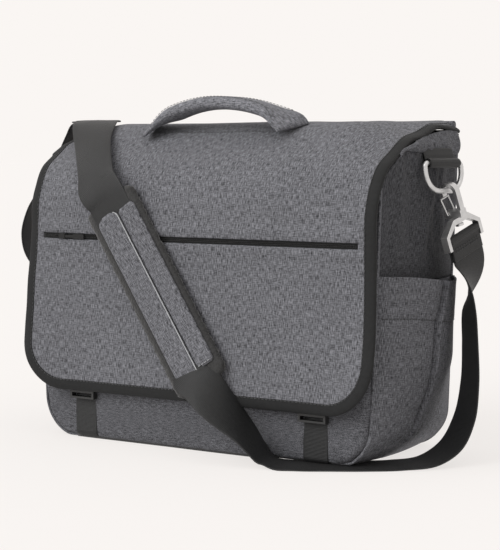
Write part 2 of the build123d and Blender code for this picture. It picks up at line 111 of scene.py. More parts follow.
def crown(y):
    """1 at the bag's mid depth and 0 at its front and back seams."""
    mid = (SEAM_FRONT + SEAM_BACK) / 2
    half = (SEAM_BACK - SEAM_FRONT) / 2
    return max(0.0, 1 - ((y - mid) / half) ** 2)


def soft_noise(x, y, size, seed=0.0):
    """Smooth bumps about size across, between -1 and 1."""
    return noise.noise(Vector((x / size, y / size, seed)))


def spread(low, high, count):
    """Evenly spaced values, both ends included."""
    return [low + (high - low) * i / (count - 1) for i in range(count)]


def half_width(z):
    return FOOT_HALF + WIDENING * z


def outline_half(z):
    """Half width of the body at height z, with its rounded lower corner."""
    if z >= CORNER_R:
        return half_width(z)
    rise = CORNER_R - max(z, 0.0)
    return half_width(z) - CORNER_R + sqrt(CORNER_R ** 2 - rise ** 2)


def edge_distance(x, z):
    """How far a point of the front or back panel is from the panel's seam."""
    side = half_width(z) - abs(x)
    corner_x = FOOT_HALF - CORNER_R
    if abs(x) > corner_x and z < CORNER_R:
        return CORNER_R - hypot(abs(x) - corner_x, CORNER_R - z)
    return min(side, z)


def quarter_round(distance, radius):
    """Height of a rounded edge at a distance from its foot, from 0 to 1."""
    t = min(1.0, max(0.0, distance / radius))
    return sqrt(1 - (1 - t) ** 2)


def arc_path(points, radius, step=3.0):
    """Straight runs joined by arcs of one radius, as points about a step apart."""
    path = [Vector(points[0])]

    def run_to(p):
        start = path[-1]
        count = max(1, round((p - start).length / step))
        path.extend(start.lerp(p, i / count) for i in range(1, count + 1))

    for a, b, c in zip(points, points[1:], points[2:]):
        a, b, c = Vector(a), Vector(b), Vector(c)
        into = (b - a).normalized()
        out = (c - b).normalized()
        turn = into.angle(out)
        setback = radius * tan(turn / 2)
        run_to(b - into * setback)
        across = (out - into * into.dot(out)).normalized()
        centre = b - into * setback + across * radius
        count = max(2, round(radius * turn / step))
        for i in range(1, count + 1):
            angle = turn * i / count
            path.append(centre + into * radius * sin(angle) - across * radius * cos(angle))
    run_to(Vector(points[-1]))
    return path


class Track:
    """A path with positions and directions by length."""

    def __init__(self, points):
        self.points = points
        self.marks = [0.0]
        for a, b in zip(points, points[1:]):
            self.marks.append(self.marks[-1] + (b - a).length)
        self.length = self.marks[-1]

    def at(self, s):
        """Position and direction at length s."""
        s = min(max(s, 0.0), self.length)
        i = 1
        while i < len(self.marks) - 1 and self.marks[i] < s:
            i += 1
        a, b = self.points[i - 1], self.points[i]
        t = (s - self.marks[i - 1]) / (self.marks[i] - self.marks[i - 1])
        return a.lerp(b, t), (b - a).normalized()


def slopes(values, gaps):
    """Rate of change at each value, weighted by the gaps either side."""
    rates = [(b - a) / g for a, b, g in zip(values, values[1:], gaps)]
    inner = [(rates[i - 1] * gaps[i] + rates[i] * gaps[i - 1]) / (gaps[i - 1] + gaps[i])
             for i in range(1, len(rates))]
    return [rates[0]] + inner + [rates[-1]]


def through(centres, acrosses, step=4.0):
    """Smooth stations through (centre, direction across) pairs, about a step apart."""
    gaps = [(b - a).length for a, b in zip(centres, centres[1:])]
    curves = [(values, slopes(values, gaps)) for values in (centres, acrosses)]
    stations = []
    for i, gap in enumerate(gaps):
        count = max(2, round(gap / step))
        for k in range(count + (i == len(gaps) - 1)):
            t = k / count
            here = 2 * t ** 3 - 3 * t ** 2 + 1
            beyond = 3 * t ** 2 - 2 * t ** 3
            leaving = t ** 3 - 2 * t ** 2 + t
            arriving = t ** 3 - t ** 2
            pair = []
            for values, rates in curves:
                pair.append(values[i] * here + values[i + 1] * beyond
                            + rates[i] * gap * leaving + rates[i + 1] * gap * arriving)
            stations.append(pair)
    return stations


# ---------------------------------------------------------------- pieces
def new_piece(name, vertices, faces, uvs=None):
    """A smooth-shaded object from vertices and weave coordinates in millimetres."""
    mesh = bpy.data.meshes.new(name)
    mesh.from_pydata([v * MM for v in vertices], [], faces)
    if uvs:
        layer = mesh.uv_layers.new(name="weave")
        for loop in mesh.loops:
            u, v = uvs[loop.vertex_index]
            layer.data[loop.index].uv = (u * MM, v * MM)
    mesh.polygons.foreach_set("use_smooth", [True] * len(mesh.polygons))
    piece = bpy.data.objects.new(name, mesh)
    bpy.context.scene.collection.objects.link(piece)
    return piece


def sheet(name, outer, inner, uvs):
    """A closed sheet between two grids of points of the same size."""
    rows, columns = len(outer), len(outer[0])
    size = rows * columns
    vertices = [p for row in outer for p in row] + [p for row in inner for p in row]
    flat_uvs = [uv for row in uvs for uv in row] * 2
    faces = []
    for r in range(rows - 1):
        for c in range(columns - 1):
            a = r * columns + c
            quad = (a, a + 1, a + columns + 1, a + columns)
            faces.append(quad)
            faces.append(tuple(size + i for i in reversed(quad)))
    rim = list(range(columns))
    rim += [r * columns + columns - 1 for r in range(1, rows)]
    rim += [(rows - 1) * columns + c for c in range(columns - 2, -1, -1)]
    rim += [r * columns for r in range(rows - 2, 0, -1)]
    for a, b in zip(rim, rim[1:] + rim[:1]):
        faces.append((b, a, size + a, size + b))
    piece = new_piece(name, vertices, faces, flat_uvs)
    face_outwards(piece)
    return piece


def cell_sheet(name, rows):
    """A closed sheet from rows of (outer point, inner point, weave) cells."""
    outer, inner, weave = ([[cell[k] for cell in row] for row in rows] for k in range(3))
    return sheet(name, outer, inner, weave)


def tube(name, stations, sections):
    """A closed skin through (centre, first axis, second axis) stations, one section of offsets each."""
    count = len(sections[0])
    vertices = []
    coordinates = []
    length = 0.0
    for i, ((centre, first, second), section) in enumerate(zip(stations, sections)):
        if i:
            length += (centre - stations[i - 1][0]).length
        girth = 0.0
        for k, (a, b) in enumerate(section):
            vertices.append(centre + first * a + second * b)
            if k:
                girth += hypot(a - section[k - 1][0], b - section[k - 1][1])
            coordinates.append((girth, length))
    faces = []
    rings = len(stations)
    for i in range(rings - 1):
        for k in range(count):
            m = (k + 1) % count
            faces.append((i * count + k, i * count + m, (i + 1) * count + m, (i + 1) * count + k))
    faces.append(tuple(range(count)))
    faces.append(tuple((rings - 1) * count + k for k in reversed(range(count))))
    piece = new_piece(name, vertices, faces, coordinates)
    face_outwards(piece)
    return piece


def face_outwards(piece):
    mesh = bmesh.new()
    mesh.from_mesh(piece.data)
    bmesh.ops.recalc_face_normals(mesh, faces=mesh.faces)
    mesh.to_mesh(piece.data)
    mesh.free()


def settle(piece):
    """Applies the piece's modifiers to its mesh."""
    graph = bpy.context.evaluated_depsgraph_get()
    mesh = bpy.data.meshes.new_from_object(piece.evaluated_get(graph))
    piece.modifiers.clear()
    piece.data = mesh
    mesh.polygons.foreach_set("use_smooth", [True] * len(mesh.polygons))


def oval(half_a, half_b, count, power=2.0):
    """Offsets round a rounded section. A higher power makes it squarer."""
    offsets = []
    for i in range(count):
        angle = 2 * pi * i / count
        c, s = cos(angle), sin(angle)
        a = half_a * abs(c) ** (2 / power) * (1 if c >= 0 else -1)
        b = half_b * abs(s) ** (2 / power) * (1 if s >= 0 else -1)
        offsets.append((a, b))
    return offsets


def finish(piece, material, body, slot, *nodes):
    """Gives a piece its material and its body, and hides the CAD nodes that it stands for."""
    piece.data.materials.clear()
    piece.data.materials.append(material)
    if body:
        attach(piece, body)
    if nodes:
        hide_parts(*nodes)
    return piece


def inflate(piece, voxel, pressure, cap, pinned=None):
    """Cloth simulation under pressure. No point moves further than the cap."""
    remesh = piece.modifiers.new("remesh", "REMESH")
    remesh.mode = "VOXEL"
    remesh.voxel_size = voxel * MM
    settle(piece)
    start = [v.co.copy() for v in piece.data.vertices]
    group = piece.vertex_groups.new(name="pinned")
    if pinned:
        group.add([i for i, co in enumerate(start) if pinned(co / MM)], 1.0, "REPLACE")
    cloth = piece.modifiers.new("cloth", "CLOTH")
    cloth.settings.use_pressure = True
    cloth.settings.uniform_pressure_force = pressure
    cloth.settings.effector_weights.gravity = 0
    cloth.settings.vertex_group_mass = "pinned" if pinned else ""
    cloth.collision_settings.use_collision = False
    for step in range(1, 16):
        bpy.context.scene.frame_set(step)
    settle(piece)
    bpy.context.scene.frame_set(1)
    for vertex, rest in zip(piece.data.vertices, start):
        move = vertex.co - rest
        if move.length > cap * MM:
            vertex.co = rest + move.normalized() * cap * MM
    return piece


# ---------------------------------------------------------------- materials
def grey(value, warmth=0.0):
    """A grey by its linear value. Warmth tints it towards red, or below 0 towards blue."""
    return (value * (1 + warmth), value, value * (1 - warmth), 1)


def cool_grey(value):
    """A grey by its linear value, a little towards violet."""
    return (value * 0.965, value * 0.98, value * 1.075, 1)


class Look:
    """A material and its node tree, with short forms of the nodes that the looks use."""

    def __init__(self, name):
        self.material = bpy.data.materials.new(name)
        self.material.use_nodes = True
        self.nodes = self.material.node_tree.nodes
        self.links = self.material.node_tree.links
        self.shader = self.nodes["Principled BSDF"]

    def set(self, **values):
        """Sets inputs of the shader. An underscore in a name stands for a space."""
        for name, value in values.items():
            self.shader.inputs[name.replace("_", " ")].default_value = value

    def drive(self, name, value):
        """Joins a node's output to an input of the shader."""
        self.links.new(value, self.shader.inputs[name])

    def coordinates(self, source, scale):
        where = self.nodes.new("ShaderNodeTexCoord")
        mapping = self.nodes.new("ShaderNodeMapping")
        mapping.inputs["Scale"].default_value = scale
        self.links.new(where.outputs[source], mapping.inputs["Vector"])
        return mapping.outputs["Vector"]

    def noise(self, source, scale, detail=2.0, roughness=0.5):
        """A noise value. The scale is one number, or one for each axis."""
        if isinstance(scale, (int, float)):
            scale = (scale, scale, scale)
        texture = self.nodes.new("ShaderNodeTexNoise")
        texture.inputs["Scale"].default_value = 1.0
        texture.inputs["Detail"].default_value = detail
        texture.inputs["Roughness"].default_value = roughness
        self.links.new(self.coordinates(source, scale), texture.inputs["Vector"])
        return texture.outputs["Fac"]

    def ramp(self, value, *stops):
        """A colour by value, from (position, colour) stops."""
        mix = self.nodes.new("ShaderNodeValToRGB")
        elements = mix.color_ramp.elements
        while len(elements) < len(stops):
            elements.new(0.5)
        for element, (position, colour) in zip(elements, stops):
            element.position = position
            element.color = colour
        self.links.new(value, mix.inputs["Fac"])
        return mix.outputs["Color"]

    def maths(self, operation, a, b):
        """One sum of two values, each a number or a node's output."""
        node = self.nodes.new("ShaderNodeMath")
        node.operation = operation
        for socket, value in zip(node.inputs, (a, b)):
            if isinstance(value, (int, float)):
                socket.default_value = value
            else:
                self.links.new(value, socket)
        return node.outputs["Value"]

    def multiply(self, a, b):
        """Two colours multiplied."""
        mix = self.nodes.new("ShaderNodeMix")
        mix.data_type = "RGBA"
        mix.blend_type = "MULTIPLY"
        mix.inputs["Factor"].default_value = 1.0
        self.links.new(a, mix.inputs["A"])
        self.links.new(b, mix.inputs["B"])
        return mix.outputs["Result"]

    def bump(self, height, distance, strength):
        """Raises the surface by a value, by a distance in metres."""
        node = self.nodes.new("ShaderNodeBump")
        node.inputs["Strength"].default_value = strength
        node.inputs["Distance"].default_value = distance
        self.links.new(height, node.inputs["Height"])
        self.drive("Normal", node.outputs["Normal"])


def heather(name, level, source="UV"):
    """Grey heather: light and dark threads crossing, with a faint cloudiness."""
    look = Look(name)
    flat = source == "UV"
    warp = look.noise(source, (1300, 170, 170 if flat else 1300), 1.5, 0.5)
    weft = look.noise(source, (170, 1300, 1) if flat else (170, 170, 1300), 1.5, 0.5)
    fleck = look.noise(source, 650, 3.0, 0.6)
    threads = look.maths("ADD", look.maths("MULTIPLY", warp, 0.54),
                         look.maths("MULTIPLY", weft, 0.34))
    threads = look.maths("ADD", threads, look.maths("MULTIPLY", fleck, 0.12))
    colour = look.ramp(threads, (0.38, cool_grey(level * 0.28)), (0.46, cool_grey(level * 0.76)),
                       (0.53, cool_grey(level * 1.14)), (0.62, cool_grey(level * 1.75)))
    cloud = look.noise("Object", 14, 3.0)
    shade = look.ramp(cloud, (0.3, grey(0.90)), (0.7, grey(1.0)))
    look.drive("Base Color", look.multiply(colour, shade))
    look.set(Roughness=0.95, Specular_IOR_Level=0.12, Sheen_Weight=0.04, Sheen_Roughness=0.5)
    look.bump(threads, 0.0005, 0.6)
    return look.material


def ribbed(name, level, pitch, lengthwise, roughness, sheen):
    """Tape or webbing: fine ribs, faint mottling and painted shade in the valleys between the ribs."""
    look = Look(name)
    ribs = look.nodes.new("ShaderNodeTexWave")
    ribs.bands_direction = "X" if lengthwise else "Y"
    ribs.inputs["Scale"].default_value = 0.314 / (pitch * MM)
    ribs.inputs["Distortion"].default_value = 0.4
    look.links.new(look.coordinates("UV", (1, 1, 1)), ribs.inputs["Vector"])
    mottle = look.noise("Object", 260, 4.0, 0.6)
    height = look.maths("ADD", ribs.outputs["Fac"], look.maths("MULTIPLY", mottle, 0.5))
    colour = look.ramp(mottle, (0.3, grey(level * 0.85, -0.03)), (0.7, grey(level * 1.2, -0.03)))
    # painted shade: the valleys between the ribs are darker than their tops
    rib_valley_painted_shade = look.ramp(ribs.outputs["Fac"], (0.0, grey(0.82)), (1.0, grey(1.0)))
    look.drive("Base Color", look.multiply(colour, rib_valley_painted_shade))
    look.set(Roughness=roughness, Sheen_Weight=sheen, Sheen_Roughness=0.35, Specular_IOR_Level=0.28)
    look.bump(height, 0.00025, 0.6)
    return look.material


def plain_cloth(name, level, weave=900):
    """Plain dark cloth with a fine even weave."""
    look = Look(name)
    grain = look.noise("Object", weave, 2.0, 0.7)
    colour = look.ramp(grain, (0.35, grey(level * 0.7)), (0.65, grey(level * 1.3)))
    look.drive("Base Color", colour)
    look.set(Roughness=0.9, Sheen_Weight=0.15)
    look.bump(grain, 0.0004, 0.5)
    return look.material


def spacer_mesh(name, level):
    """Three-dimensional mesh: a dark knit with small round holes, whose insides are painted darker as shade.
    """
    look = Look(name)
    cells = look.nodes.new("ShaderNodeTexVoronoi")
    cells.inputs["Scale"].default_value = 430
    look.links.new(look.coordinates("Object", (1, 1, 1)), cells.inputs["Vector"])
    # painted shade: the cell centres, the holes, are darker than the knit round them
    colour = look.ramp(cells.outputs["Distance"], (0.1, grey(level * 0.4)), (0.5, grey(level * 1.3)))
    look.drive("Base Color", colour)
    look.set(Roughness=0.85, Sheen_Weight=0.2)
    look.bump(cells.outputs["Distance"], 0.0008, 0.6)
    return look.material


def metal(name, level, roughness):
    """Satin cast metal with a slightly uneven skin and dull low spots."""
    look = Look(name)
    skin = look.noise("Object", 900, 3.0, 0.6)
    wear = look.noise("Object", 120, 4.0, 0.6)
    colour = look.ramp(wear, (0.35, grey(level * 0.9)), (0.65, grey(level)))
    look.drive("Base Color", colour)
    rough = look.ramp(wear, (0.3, grey(roughness * 1.25)), (0.7, grey(roughness * 0.85)))
    look.drive("Roughness", rough)
    look.set(Metallic=1.0)
    look.bump(skin, 0.00012, 0.35)
    return look.material


def moulded(name, level):
    """Moulded black plastic with a fine spark-eroded grain."""
    look = Look(name)
    grain = look.noise("Object", 1500, 2.0, 0.6)
    scuff = look.noise("Object", 90, 5.0, 0.7)
    colour = look.ramp(scuff, (0.4, grey(level)), (0.75, grey(level * 1.9)))
    look.drive("Base Color", colour)
    rough = look.ramp(scuff, (0.3, grey(0.42)), (0.7, grey(0.6)))
    look.drive("Roughness", rough)
    look.bump(grain, 0.0002, 0.4)
    return look.material


def floor_material():
    """Pale matt floor that meets the backdrop without a line."""
    look = Look("floor")
    lit = [(1 - FLOOR_GLOW) * c / (c + FLOOR_SUN) for c in BACKDROP]
    look.set(Base_Color=(*lit, 1), Emission_Color=(*BACKDROP, 1), Emission_Strength=FLOOR_GLOW,
             Roughness=1.0, Specular_IOR_Level=0.0)
    return look.material


BACKDROP = (0.956, 0.921, 0.896)
SUNS = (("key", (-0.52, -0.90, 0.62), 2.1, 50), ("top", (0.15, -0.25, 1.0), 0.35, 70))
FLOOR_GLOW = 0.76
FLOOR_SUN = sum(power * Vector(toward).normalized().z / pi for _, toward, power, _ in SUNS)
HEATHER = heather("heather_cloth", 0.116)
# a lighter copy of the heather cloth: painted light on the handle, which is lit from above
HEATHER_HANDLE_PAINTED_LIGHT = heather("heather_cloth_handle_painted_light", 0.150)
# a darker copy of the heather cloth for the front and back panels: painted shade, as under the flap
HEATHER_PANELS_PAINTED_SHADE = heather("heather_cloth_pads_painted_shade", 0.084, "Object")
HEATHER_SIDE = heather("heather_cloth_pockets", 0.104)
# a lighter copy of the heather cloth for the lower gussets: painted light on cloth that faces down
HEATHER_FOOT_PAINTED_LIGHT = heather("heather_cloth_side_feet_painted_light", 0.120)
# a much darker copy of the heather cloth: painted shade on the upper gussets under the flap
HEATHER_PAINTED_SHADE = heather("heather_cloth_upper_sides_painted_shade", 0.048)
HEATHER_RIM = heather("heather_cloth_rim", 0.085)
BINDING = ribbed("binding_tape", 0.0115, 1.1, False, 0.8, 0.02)
WEBBING = ribbed("webbing", 0.0125, 1.3, False, 0.5, 0.03)
THREAD = ribbed("thread", 0.040, 0.6, False, 0.6, 0.1)
GREY_THREAD = ribbed("grey_thread", 0.07, 0.6, False, 0.6, 0.1)
PIPING = ribbed("piping", 0.40, 0.8, False, 0.6, 0.2)
LINING = plain_cloth("lining_cloth", 0.016)
BASE_CLOTH = plain_cloth("base_cloth", 0.018, 600)
MESH = spacer_mesh("pad_mesh", 0.013)
CAST = metal("cast_metal", 0.63, 0.38)
WIRE = metal("wire_metal", 0.58, 0.26)
DARK_METAL = metal("dark_metal", 0.030, 0.40)
PLASTIC = moulded("black_plastic", 0.008)


# ---------------------------------------------------------------- camera, floor and light
CAMERA_LENS = 106.2
CAMERA_AT = (0.9358, -1.4123, 0.3018)
CAMERA_DOWN = 4.34
CAMERA_ROUND = 33.28
FLOOR_REACH = 30.0
FLOOR_DROP = -0.0002


def camera_and_light():
    """The photo's camera, the pale floor and backdrop, and the two lamps. Places are in metres."""
    scene = bpy.context.scene
    data = bpy.data.cameras.new("camera")
    data.lens = CAMERA_LENS
    camera = bpy.data.objects.new("camera", data)
    scene.collection.objects.link(camera)
    camera.location = CAMERA_AT
    camera.rotation_euler = (radians(90 - CAMERA_DOWN), 0, radians(CAMERA_ROUND))
    scene.camera = camera
    scene.view_settings.view_transform = "Standard"
    world = bpy.data.worlds.new("studio")
    scene.world = world
    world.use_nodes = True
    background = world.node_tree.nodes["Background"]
    background.inputs["Color"].default_value = (*BACKDROP, 1)
    background.inputs["Strength"].default_value = 1.0
    for name, toward, power, angle in SUNS:
        light = bpy.data.lights.new(name, "SUN")
        light.energy = power
        light.angle = radians(angle)
        lamp = bpy.data.objects.new(name, light)
        lamp.rotation_euler = Vector(toward).to_track_quat("Z", "Y").to_euler()
        scene.collection.objects.link(lamp)
    mesh = bpy.data.meshes.new("floor")
    corners = [(x * FLOOR_REACH, y * FLOOR_REACH, 0) for x, y in ((-1, -1), (1, -1), (1, 1), (-1, 1))]
    mesh.from_pydata(corners, [], [(0, 1, 2, 3)])
    floor = bpy.data.objects.new("floor", mesh)
    floor.location.z = FLOOR_DROP
    scene.collection.objects.link(floor)
    mesh.materials.append(floor_material())


camera_and_light()


# ---------------------------------------------------------------- flap surface
PROFILE = Track(arc_path([(0, HINGE.y, flap_hi.z - 0.6), (0, -34, 331), (0, FLAP_FRONT, 276),
                          (0, FLAP_FRONT, FLAP_FOOT)], FLAP_BEND_R))
FLAP_LENGTH = PROFILE.length


def flap_s(z):
    """Length along the profile of height z on the hanging part."""
    return FLAP_LENGTH - (z - FLAP_FOOT)


def flap_lift(x, s):
    """How far the flap's cloth stands off its smooth form."""
    p, _ = PROFILE.at(s)
    u = x / FLAP_HALF
    across = abs(u)
    lift = 1.3 * soft_noise(x, s, 95, 3.0) + 0.6 * soft_noise(x, s, 38, 8.0)
    top = smooth(-75, -20, p.y)
    lift += top * 0.9 * soft_noise(x * 0.4, s, 26, 5.0)
    sag = 14.0 * bump(-28, 62, p.y) + 4.0 * bump(22, 55, p.y)
    lift -= smooth(0.66, 1.0, across) * sag * (s < FLAP_LENGTH * 0.6)
    lift -= 9.0 * smooth(0.9, 1.0, across) * smooth(35, 78, p.y)
    shoulder = bump(290, 60, p.z) * (1 - top)
    lift -= shoulder * 5.0 * smooth(0.7, 1.0, across)
    if u < 0:
        lift -= 9.0 * smooth(0.66, 1.0, across) * bump(235, 95, p.z)
    lift += 8.0 * smooth(0.62, 1.0, across) * smooth(150, 60, p.z)
    edge = FLAP_HALF - abs(x)
    lift += 0.8 * soft_noise(s, 0, 30, 2.0 + u) * smooth(40, 0, edge)
    welts = 2.0 * bump(ZIP_Z + 9, 10, p.z) + 1.2 * bump(ZIP_Z - 8, 9, p.z)
    lift += welts * smooth(ZIP_HALF + 12, ZIP_HALF - 10, abs(x)) * (s > FLAP_LENGTH / 2)
    lift += 1.4 * smooth(26, 4, FLAP_LENGTH - s) * soft_noise(x, 0, 60, 4.0)
    return lift


def flap_point(x, s, depth=0.0):
    """A point of the flap, depth below its outer face."""
    p, along = PROFILE.at(min(s, FLAP_LENGTH))
    outward = Vector((0, along.z, -along.y))
    point = p + outward * (flap_lift(x, s) - depth)
    return Vector((x, point.y, point.z))


def flap_sheet(name, depth, thick, inset, slit=False):
    """One layer of the flap, trimmed inside the binding."""
    rows = spread(0.6, flap_s(ZIP_Z + 14), 66)
    rows += spread(flap_s(ZIP_Z + 12.5), flap_s(ZIP_Z + 4.5), 6)
    rows += [flap_s(ZIP_Z + dz) for dz in (3.2, 2.8, 0, -2.8, -3.2)]
    rows += spread(flap_s(ZIP_Z - 4.5), flap_s(ZIP_Z - 12.5), 6)
    rows += spread(flap_s(ZIP_Z - 15), flap_s(FLAP_FOOT + FLAP_CORNER_R), 26)
    reach = FLAP_CORNER_R - inset
    rows += [FLAP_LENGTH - FLAP_CORNER_R + reach * sin(pi / 2 * i / 14) for i in range(1, 15)]
    outer, inner, uvs = [], [], []
    for s in rows:
        past = s - (FLAP_LENGTH - FLAP_CORNER_R)
        half = FLAP_HALF - inset
        if past > 0:
            half = FLAP_HALF - FLAP_CORNER_R + sqrt(max(0.0, reach ** 2 - past ** 2))
        xs = [half * u for u in spread(-1, 1, 121)]
        in_slit = slit and abs(s - flap_s(ZIP_Z)) < 3
        sink = [2.5 if in_slit and abs(x) < ZIP_HALF else 0.0 for x in xs]
        outer.append([flap_point(x, s, depth + k) for x, k in zip(xs, sink)])
        inner.append([flap_point(x, s, depth + thick) for x in xs])
        uvs.append([(x, s) for x in xs])
    return sheet(name, outer, inner, uvs)


def flap_outline(inset, step=4.0):
    """Points (x, s) round the flap's side and lower edges, from the hinge to the hinge."""
    half = FLAP_HALF - inset
    corner = FLAP_LENGTH - FLAP_CORNER_R
    reach = FLAP_CORNER_R - inset
    straight = FLAP_HALF - FLAP_CORNER_R
    count = round(corner / step)
    turns = round(reach * pi / 2 / step)
    right = [(half, corner * i / count) for i in range(count)]
    right += [(straight + reach * cos(pi / 2 * i / turns), corner + reach * sin(pi / 2 * i / turns))
              for i in range(turns)]
    foot = round(2 * straight / step)
    bottom = [(straight - 2 * straight * i / foot, corner + reach) for i in range(foot + 1)]
    return [(-x, s) for x, s in right] + [(-x, s) for x, s in bottom] + list(reversed(right))


def flap_frame(x, s, depth=0.0):
    """Point, normal and the two directions in the flap's surface."""
    here = flap_point(x, s, depth)
    along_x = (flap_point(x + 1, s, depth) - flap_point(x - 1, s, depth)).normalized()
    below = flap_point(x, min(s + 1, FLAP_LENGTH), depth)
    above = flap_point(x, max(s - 1, 0), depth)
    along_s = (below - above).normalized()
    return here, along_s.cross(along_x).normalized(), along_x, along_s


def edge_stations(inset, depth, step=4.0):
    """Stations along the flap's edge: centre, direction out of the edge, and the flap's normal."""
    stations = []
    outline = flap_outline(inset, step)
    for i, (x, s) in enumerate(outline):
        here, normal, _, _ = flap_frame(x, s, depth)
        a = flap_point(*outline[max(i - 1, 0)], depth)
        b = flap_point(*outline[min(i + 1, len(outline) - 1)], depth)
        out = (b - a).cross(normal).normalized()
        centre = flap_point(0, FLAP_LENGTH / 2, depth)
        if out.dot(here - centre) < 0:
            out = -out
        stations.append((here, out, normal))
    return stations


def stitches(name, runs, length=3.2, pitch=4.2, radius=0.45):
    """Thread along each run of (position, normal) samples, one bead to a stitch."""
    vertices, faces = [], []
    for run in runs:
        marks = [0.0]
        for (a, _), (b, _) in zip(run, run[1:]):
            marks.append(marks[-1] + (b - a).length)
        at = pitch / 2
        i = 0
        while at + length / 2 < marks[-1]:
            while marks[i + 1] < at:
                i += 1
            (a, normal), (b, _) = run[i], run[i + 1]
            t = (at - marks[i]) / (marks[i + 1] - marks[i])
            middle = a.lerp(b, t)
            along = (b - a).normalized()
            side = along.cross(normal).normalized()
            start = len(vertices)
            for j, swell in ((-1, 0.35), (-0.6, 1.0), (0.6, 1.0), (1, 0.35)):
                for k in range(6):
                    angle = 2 * pi * k / 6
                    ring = side * cos(angle) + normal * sin(angle)
                    sink = normal * (-0.25 if abs(j) == 1 else 0.1)
                    vertices.append(middle + along * (j * length / 2) + ring * (radius * swell) + sink)
            for j in range(3):
                for k in range(6):
                    m = (k + 1) % 6
                    base = start + 6 * j
                    faces.append((base + k, base + m, base + 6 + m, base + 6 + k))
            faces.append(tuple(start + k for k in range(6)))
            faces.append(tuple(start + 18 + k for k in reversed(range(6))))
            at += pitch
    piece = new_piece(name, vertices, faces, [(0, 0)] * len(vertices))
    face_outwards(piece)
    return piece


def make_flap():
    shell = flap_sheet("flap_cloth", 0.0, 4.0, BINDING_W / 2, slit=True)
    finish(shell, HEATHER, "flap", "heather_fabric", "flap_shell")
    inner = flap_sheet("flap_liner", 4.0, 1.0, BINDING_W / 2)
    finish(inner, LINING, "flap", "lining_fabric", "flap_lining")
    stations = edge_stations(BINDING_W / 2, 2.5)
    section = oval(BINDING_W / 2, 3.1, 20, 5.0)
    section = [(a, b * (1 - 0.35 * smooth(2, 6, a))) for a, b in section]
    sections = []
    for _, s in flap_outline(BINDING_W / 2):
        k = 1 - 0.2 * smooth(95, 30, s)
        sections.append([(a * k, b * k) for a, b in section])
    binding = tube("flap_edge_binding", stations, sections)
    finish(binding, BINDING, "flap", "binding_tape", "flap_binding")
    inner_run = [(p + n * 0.5, n) for p, _, n in edge_stations(BINDING_W - 1.4, 0.0)]
    thread = stitches("flap_binding_stitches", [inner_run], radius=0.5)
    finish(thread, THREAD, "flap", "binding_tape")


def make_flap_seam():
    """Pressed seam and top stitching across the flap under the handle."""
    run = []
    seam_z = 322
    shoulder = [s for s in spread(60, 220, 300) if PROFILE.at(s)[0].y <= -20]
    seam_s = min(shoulder, key=lambda s: abs(PROFILE.at(s)[0].z - seam_z))
    for x in spread(-92, 92, 47):
        here, normal, _, _ = flap_frame(x, seam_s)
        run.append((here + normal * 0.15, normal))
    thread = stitches("flap_seam_stitches", [run], radius=0.4)
    finish(thread, GREY_THREAD, "flap", "heather_fabric")


def make_zip():
    """Woven tape at the bottom of the slit and the coil's two rows of teeth."""
    rows, back, uvs = [], [], []
    for dz in (-3.0, -1.5, 0, 1.5, 3.0):
        xs = spread(-ZIP_HALF + 1, ZIP_HALF - 1, 90)
        line = [flap_point(x, flap_s(ZIP_Z + dz), 1.7) for x in xs]
        rows.append(line)
        back.append([p + Vector((0, 0.7, 0)) for p in line])
        uvs.append([(x, dz) for x in xs])
    tape = sheet("zip_tape", rows, back, uvs)
    finish(tape, BINDING, "flap", "black_plastic", "zip_track")
    forwards = Vector((0, -1, 0))
    coil_xs = spread(-ZIP_HALF + 4, ZIP_HALF - 4, 120)
    runs = [[(flap_point(x, flap_s(ZIP_Z + dz), 1.3), forwards) for x in coil_xs] for dz in (-0.75, 0.75)]
    coil = stitches("zip_coil", runs, length=1.0, pitch=1.45, radius=0.6)
    finish(coil, PLASTIC, "flap", "black_plastic")


make_flap()
make_flap_seam()
make_zip()


# ---------------------------------------------------------------- body
def side_point(q, y, out):
    """A point on the bag's side, out beyond the seam outline. q runs from the rim to the base."""
    p, along = SIDE_TRACK.at(q)
    outward = Vector((-along.z, 0, along.x))
    point = p + outward * out
    return Vector((point.x, y, point.z))


SIDE_RIM = 327.0
SIDE_TRACK = Track(arc_path([(half_width(SIDE_RIM), 0, SIDE_RIM), (half_width(0), 0, 0),
                             (FOOT_HALF - CORNER_R - 4, 0, 0)], CORNER_R))


def floor_gap(x, y):
    """Height of the hollow under the front corner that the shoulder strap passes through."""
    inside = smooth(70, 84, x) * smooth(-16, -26, y)
    return 2.9 * inside


def gusset_out(q, y):
    """How far the gusset stands out of the seam outline."""
    p, along = SIDE_TRACK.at(q)
    upright = abs(along.z)
    out = (8.0 * crown(y) * smooth(330, 292, p.z) - 3.0 * smooth(300, 322, p.z)) * upright
    out += (5.0 * soft_noise(y * 1.6, p.z * 0.5, 34, 7.0) + 2.0 * soft_noise(y * 2, p.z * 0.7, 17, 4.0)) \
        * upright * smooth(185, 215, p.z) * sqrt(crown(y))
    out -= 2.2 * (1 - quarter_round(min(y - SEAM_FRONT, SEAM_BACK - y) + 2, 9))
    return out


def gusset_top(y):
    """Height of the gusset's rim, just under the flap's lining."""
    marks = [(-85, 268), (-77, 279), (-64, 290), (-45, 302), (-25, 309),
             (7, 316), (36, 320), (57, 321), (90, 318)]
    for (y0, z0), (y1, z1) in zip(marks, marks[1:]):
        if y <= y1:
            return z0 + (z1 - z0) * max(0.0, y - y0) / (y1 - y0)
    return marks[-1][1]


